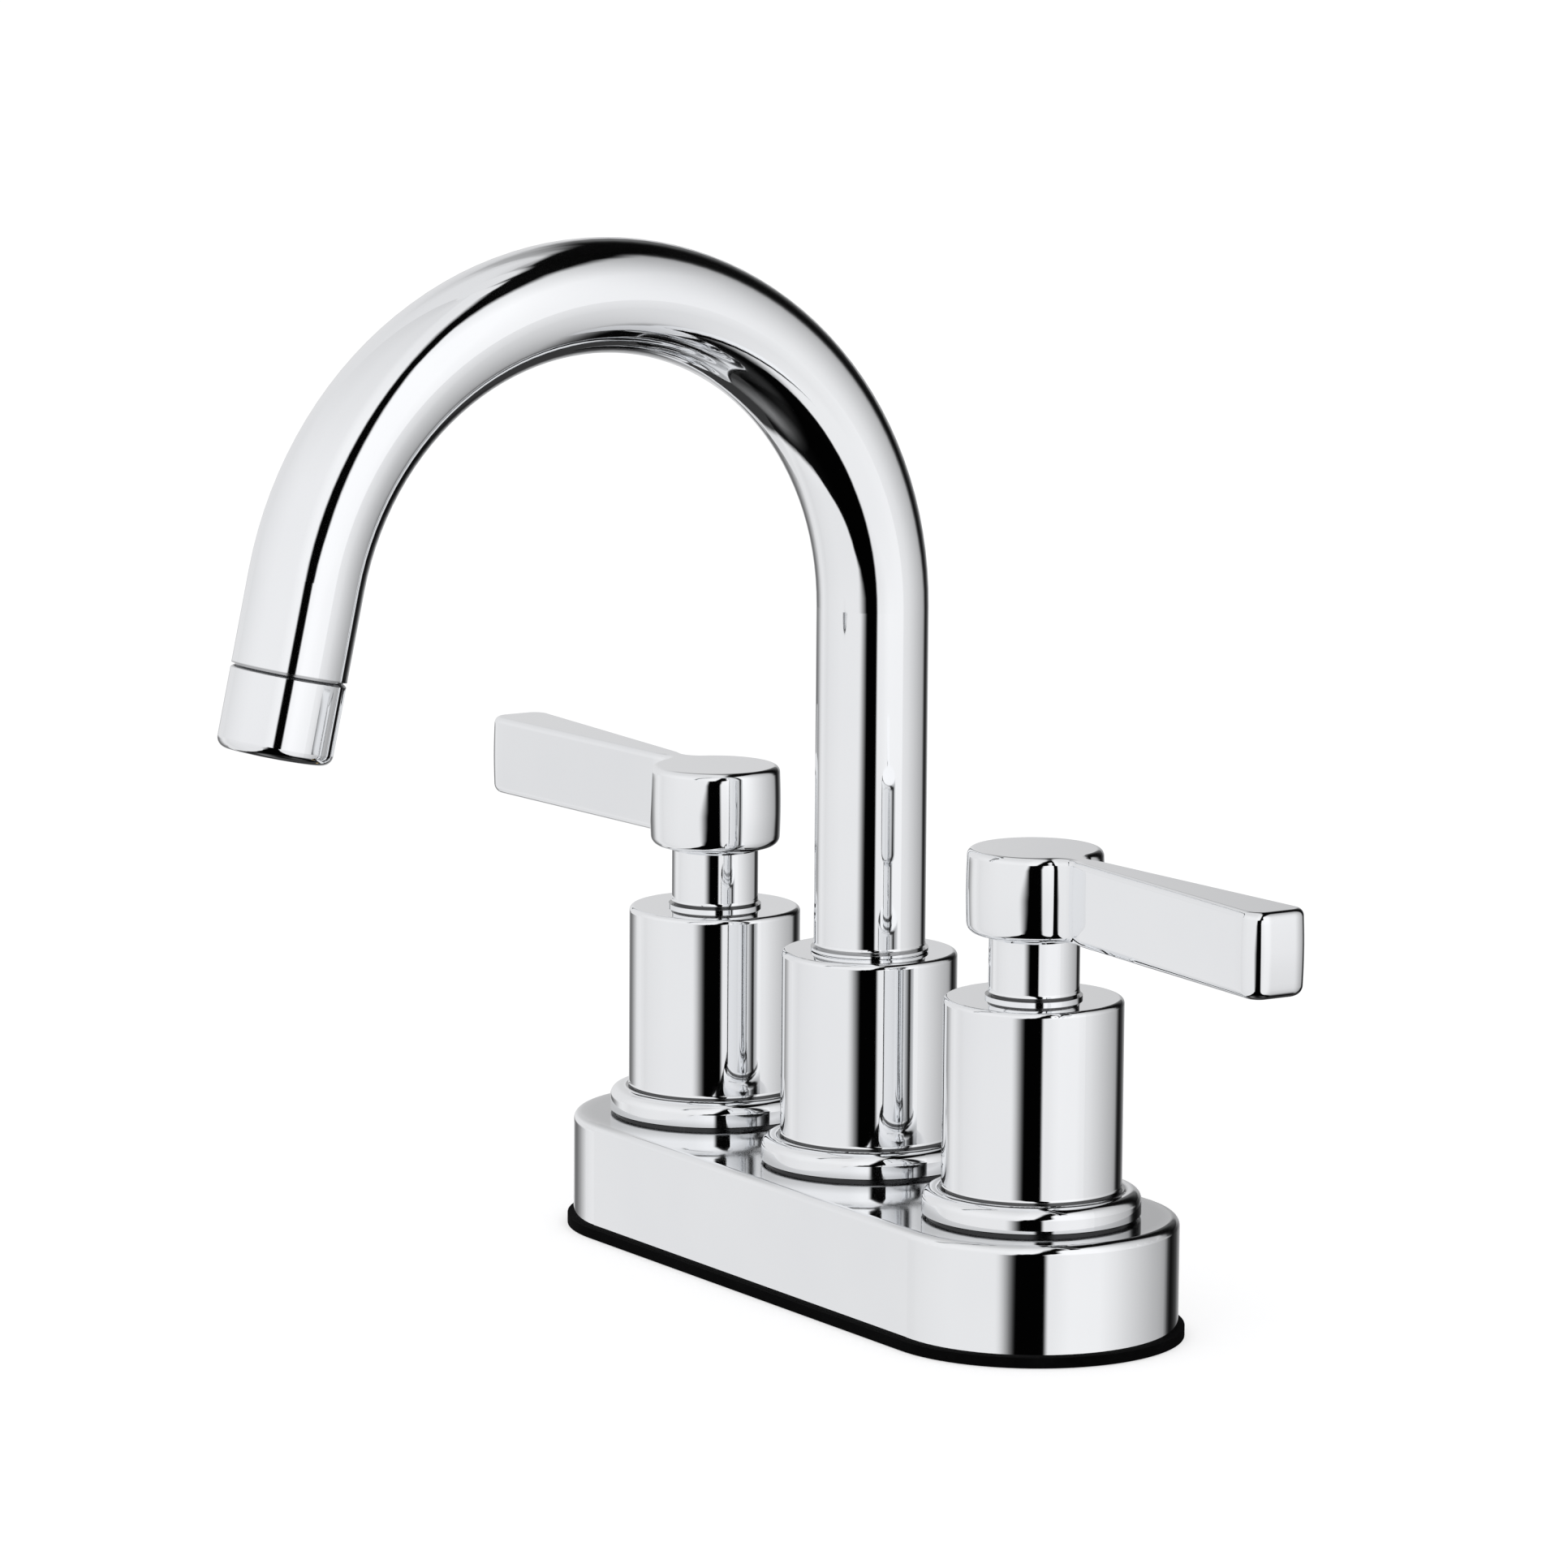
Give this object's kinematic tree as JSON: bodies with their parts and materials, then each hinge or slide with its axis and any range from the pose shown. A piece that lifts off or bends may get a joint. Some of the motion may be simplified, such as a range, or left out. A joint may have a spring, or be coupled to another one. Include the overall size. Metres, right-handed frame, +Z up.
{
  "type": "two-handle lavatory faucet",
  "caption": "Centre-set lavatory faucet with an oblong base, round posts, lever handles at both sides and a slim high-arc swivel spout, chrome plated.",
  "frame": {"origin": "centre of the seat on the deck, under the gasket", "axes": "+X along the base towards the cold side, -Y towards the user where the spout points, +Z up from the deck"},
  "size_m": [0.2434, 0.155, 0.2342],
  "materials": {
    "chrome": "polished plating",
    "brass": "as cast and turned",
    "copper": "drawn tube",
    "rubber": "matt",
    "gasket_rubber": "matt",
    "steel": "plain",
    "plastic": "moulded",
    "ceramic": "lapped",
    "fibre": "pressed fibre"
  },
  "bodies": {
    "base": {"base_gasket": "gasket_rubber", "base_plate": "chrome", "hot_post": "chrome", "centre_post": "chrome", "cold_post": "chrome", "hot_neck_sleeve": "chrome", "cold_neck_sleeve": "chrome", "hot_valve_body": "brass", "cold_valve_body": "brass", "centre_hub": "brass", "hot_cross_tube": "copper", "cold_cross_tube": "copper", "hot_cartridge_body": "brass", "cold_cartridge_body": "brass", "hot_cartridge_washer": "fibre", "cold_cartridge_washer": "fibre", "hot_fixed_disc": "ceramic", "cold_fixed_disc": "ceramic", "hot_seat_seal": "rubber", "cold_seat_seal": "rubber", "hot_mounting_washer": "steel", "cold_mounting_washer": "steel", "hot_mounting_nut": "brass", "cold_mounting_nut": "brass", "spout_thrust_washer": "plastic", "spout_bush": "plastic"},
    "hot_handle": {"hot_handle": "chrome", "hot_set_screw": "steel", "hot_spindle": "brass", "hot_spindle_o_ring": "rubber", "hot_moving_disc": "ceramic"},
    "cold_handle": {"cold_handle": "chrome", "cold_set_screw": "steel", "cold_spindle": "brass", "cold_spindle_o_ring": "rubber", "cold_moving_disc": "ceramic"},
    "spout": {"spout_tube": "chrome", "spout_shank": "brass", "spout_o_ring_lower": "rubber", "spout_o_ring_upper": "rubber", "spout_clip": "steel", "spout_outlet_adapter": "brass", "aerator_washer": "rubber", "aerator_housing": "chrome", "aerator_insert": "plastic"}
  },
  "joints": [
    {"name": "hot_handle_turn", "type": "hinge", "parent": "base", "child": "hot_handle", "pos_m": [-0.0508, 0, 0.07], "axis": [0, 0, 1], "range_deg": [0, 90]},
    {"name": "cold_handle_turn", "type": "hinge", "parent": "base", "child": "cold_handle", "pos_m": [0.0508, 0, 0.07], "axis": [0, 0, 1], "range_deg": [-90, 0]},
    {"name": "spout_swivel", "type": "hinge", "parent": "base", "child": "spout", "pos_m": [0, 0, 0.06], "axis": [0, 0, 1], "continuous": true}
  ]
}
